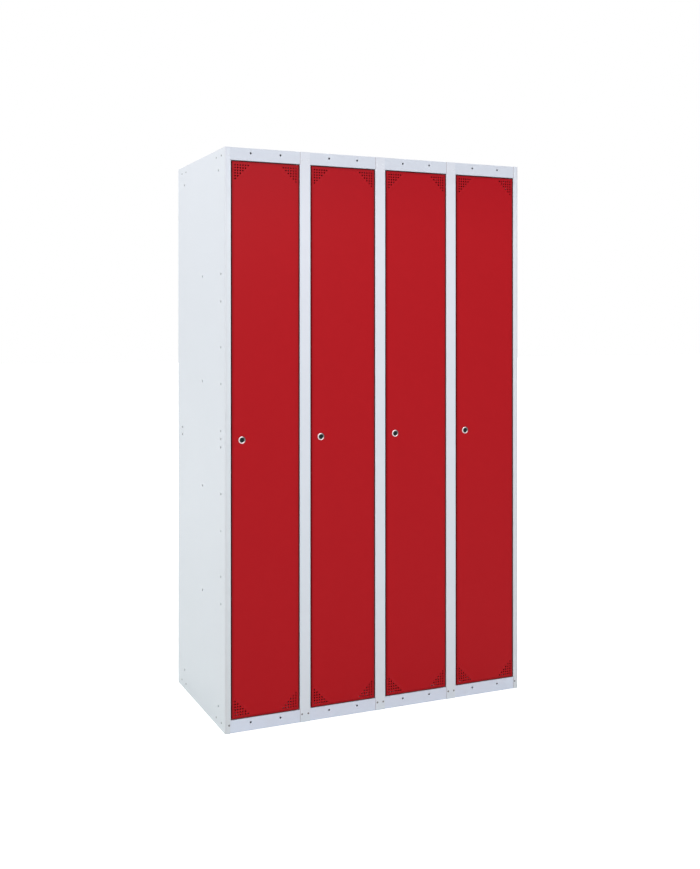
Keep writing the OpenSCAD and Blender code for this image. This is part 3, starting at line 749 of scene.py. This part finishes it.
# The doors' pivots: black phosphated pins on small plates behind the rails, and the black nylon
# bushes in the doors' ends that turn on them.
PHOSPHATE = (0.03, 0.03, 0.032)
NYLON = (0.02, 0.02, 0.021)
PIVOT_ROUGH = 0.45
GRAIN_SIZE = 0.0008
GRAIN_DARK = 0.88
GRAIN_ROUGHER = 0.1
PIN_EDGE = 0.0003
BUSH_EDGE = 0.00015


def moulded(name, colour, roughness):
    """Moulded plastic or rubber with a fine matt texture."""
    plastic = Finish(name)
    grain = plastic.place.noise(GRAIN_SIZE, layers=2.0)
    plastic.varies("Base Color", grain.blend(tuple(GRAIN_DARK * c for c in colour), colour))
    plastic.varies("Roughness", roughness + GRAIN_ROUGHER * grain)
    return plastic.material


nylon = moulded("black_nylon", NYLON, PIVOT_ROUGH)
phosphate = plated("black_phosphate", PHOSPHATE, PIVOT_ROUGH)
worked("hinge_pins", "pivot_pins", phosphate, "carcass", PIN_EDGE)
for k in BAYS:
    worked(f"hinge_bushes_{k}", f"pivot_bushes_{k}", nylon, f"door_{k}", BUSH_EDGE)

# The coat rails: zinc plated steel tube, held at each end in a pressed cup that two screws fix
# to the side of the bay.
CUP_PLATE_R = 0.018
CUP_PLATE_T = 0.002
CUP_PLATE_RIM = ((0.0004, 0.0), (0.0, 0.0004), (0.0, 0.0012), (0.0003, 0.0017), (0.0008, CUP_PLATE_T))
CUP_DEEP = 0.008
CUP_R = 0.01155
CUP_BORE_R = 0.00905
CUP_ROUND = 0.0008
CUP_EASE = 0.0005
CUP_STEPS = 48
SCREW_R = 0.0026
SCREW_AWAY = 0.01475
SCREW_UNDER = 0.0005
SCREW_DOME = ((1.0, 0.0), (1.0, 0.0005), (0.9, 0.0009), (0.6, 0.0013), (0.0, 0.0014))
SLOT_L = 0.0036
SLOT_W = 0.0005
SLOT_DEEP = 0.001
SLOT_UP = 0.0012
SCREW_STEPS = 24
TUBE_EDGE = 0.00015
cup_top = CUP_PLATE_T + CUP_DEEP
cup_profile = (
    [(0.0, 0.0)]
    + [(CUP_PLATE_R - narrower, high) for narrower, high in CUP_PLATE_RIM]
    + [(CUP_R + EASE, CUP_PLATE_T), (CUP_R, CUP_PLATE_T + EASE)]
    + quarter(CUP_R - CUP_ROUND, cup_top - CUP_ROUND, CUP_ROUND, 0.0)
    + [(CUP_BORE_R + CUP_EASE, cup_top), (CUP_BORE_R, cup_top - CUP_EASE)]
    + [(CUP_BORE_R, CUP_PLATE_T), (0.0, CUP_PLATE_T)])
screw_profile = (
    [(0.0, -SCREW_UNDER), (SCREW_R, -SCREW_UNDER)]
    + [(SCREW_R * share, high) for share, high in SCREW_DOME])
cup = turned("rail_cup", cup_profile, CUP_STEPS)
smooth_folds(cup, ROUND_DEGREES)
screws = []
for side in (-1, 1):
    head = turned("cup_screw", screw_profile, SCREW_STEPS)
    cut_by(head, box_tool((0, 0, SLOT_UP), (SLOT_L, SLOT_W, SLOT_DEEP)))
    cut_by(head, box_tool((0, 0, SLOT_UP), (SLOT_W, SLOT_L, SLOT_DEEP)))
    smooth_folds(head, ROUND_DEGREES)
    head.location = (side * SCREW_AWAY, 0, CUP_PLATE_T)
    bpy.ops.object.transform_apply(location=True, rotation=True, scale=True)
    screws.append(head)
cup = joined([cup] + screws, "rail_cup")
cups = []
for k in BAYS:
    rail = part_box(f"coat_rail_{k}")
    middle = (rail[0] + rail[1]) / 2
    for end, way in ((rail[0].x - CUP_PLATE_T, 1), (rail[1].x + CUP_PLATE_T, -1)):
        cups.append(set_at(copy_of(cup, "cup"), (end, middle.y, middle.z), (way, 0, 0)))
    worked(f"coat_rail_{k}", f"coat_tube_{k}", zinc, "carcass", TUBE_EDGE)
bpy.data.objects.remove(cup)
stands_for(joined(cups, "coat_rail_cups"), "rail_sockets", zinc, "carcass")

# The buffers: black rubber, moulded, pressed into each door stop and domed where the closed door
# rests on them.
RUBBER = (0.03, 0.03, 0.032)
RUBBER_ROUGH = 0.7
BUFFER_DOME = 0.0009
DOME_ROUND = 4
rubber = moulded("buffer_rubber", RUBBER, RUBBER_ROUGH)
worked("door_buffers", "door_stop_buffers", rubber, "carcass", BUFFER_DOME, DOME_ROUND)

# The camera stands in front of the locker's left side, a little above the lock's height, level
# and turned to the right. Its picture is shifted down so that the uprights stay upright.
CAMERA_AT = (-1.4585, -3.1794, 1.1812)
CAMERA_TURN = -23.42
CAMERA_LENS = 44.01
SHIFT_RIGHT = 0.03
SHIFT_UP = -0.125
eye = bpy.data.cameras.new("camera")
eye.lens = CAMERA_LENS
eye.shift_x = SHIFT_RIGHT
eye.shift_y = SHIFT_UP
camera = bpy.data.objects.new("camera", eye)
bpy.context.scene.collection.objects.link(camera)
camera.location = CAMERA_AT
camera.rotation_euler = (math.radians(90), 0, math.radians(CAMERA_TURN))
bpy.context.scene.camera = camera

# The studio floor: wide pale paper that runs to a white background. It looks white to the camera
# and in reflections, but not in the shade under the locker, and it keeps the locker's shadow.
FLOOR_SIZE = 60
FLOOR_BELOW = 0.0005
PAPER_GREYS = ((0.86, 0.86, 0.87), (0.9, 0.9, 0.9))
PAPER_CLOUDS = 1.5
PAPER_ROUGH = 0.9
PAPER_SHEEN = 0.1
SHADE_IN = (-0.02, -0.001)
FLOOR_GLOW = 0.6
FAR_GLOW = 0.4
FAR_FROM = 0.8
FAR_TO = 4.0
bpy.ops.object.select_all(action="DESELECT")
bpy.ops.mesh.primitive_plane_add(size=FLOOR_SIZE, location=(0, 0, -FLOOR_BELOW))
floor = bpy.context.object
floor.name = "floor"
bpy.ops.object.transform_apply(location=True, rotation=True, scale=True)


def seen_rays(start):
    """1 for rays that the camera, a reflection or a clear piece sees, and 0 for light."""
    rays = start.node("ShaderNodeLightPath")
    mirrored = start.out(rays, "Is Glossy Ray").most(start.out(rays, "Is Transmission Ray"))
    return start.out(rays, "Is Camera Ray").most(mirrored)


paper = Finish("floor_paper")
beside = paper.place.part("X").size() - HALF_W
beyond = paper.place.part("Y").size() - BACK_Y
outside = beside.most(beyond)
brightness = FLOOR_GLOW + FAR_GLOW * outside.over(FAR_FROM, FAR_TO)
glow = outside.over(*SHADE_IN) * brightness * seen_rays(paper.place)
paper.varies("Base Color", paper.place.noise(PAPER_CLOUDS, layers=2.0).blend(*PAPER_GREYS))
paper.varies("Emission Color", glow.blend((0, 0, 0), (1, 1, 1)))
paper.fixed("Emission Strength", 1.0)
paper.fixed("Roughness", PAPER_ROUGH)
paper.fixed("Specular IOR Level", PAPER_SHEEN)
floor.data.materials.append(paper.material)

# The studio's light: an even white sky, which the camera and reflections see at full strength,
# and three large soft lamps, each with its size, power and place: before the doors, on the left
# side and behind.
SKY_LIGHT = 0.29
LAMPS = (("key_light", 3.0, 144, (0.1, -4.5, 3.7)),
         ("side_light", 4.0, 155, (-4.5, -0.2, 3.9)),
         ("back_light", 4.0, 140, (3.2, 4.2, 3.6)))
LAMPS_AIM = Vector((0, 0, 1.1))
sky = bpy.data.worlds.new("sky")
bpy.context.scene.world = sky
sky.use_nodes = True
start = Wire(sky.node_tree)
light_part = sky.node_tree.nodes["Background"]
light_part.inputs["Color"].default_value = (1, 1, 1, 1)
light_part.inputs["Strength"].default_value = SKY_LIGHT
seen_part = start.node("ShaderNodeBackground", None, {"Color": (1, 1, 1, 1), "Strength": 1.0})
both = start.node("ShaderNodeMixShader", None, {0: seen_rays(start), 1: start.out(light_part),
                                                2: start.out(seen_part)})
sky.node_tree.links.new(both.outputs[0], sky.node_tree.nodes["World Output"].inputs["Surface"])
for name, size, power, spot in LAMPS:
    lamp = bpy.data.lights.new(name, "AREA")
    lamp.shape = "SQUARE"
    lamp.size = size
    lamp.energy = power
    light = bpy.data.objects.new(name, lamp)
    bpy.context.scene.collection.objects.link(light)
    light.location = spot
    light.rotation_euler = (LAMPS_AIM - Vector(spot)).to_track_quat("-Z", "Y").to_euler()

# The picture keeps the colours as they are lit.
bpy.context.scene.view_settings.view_transform = "Standard"
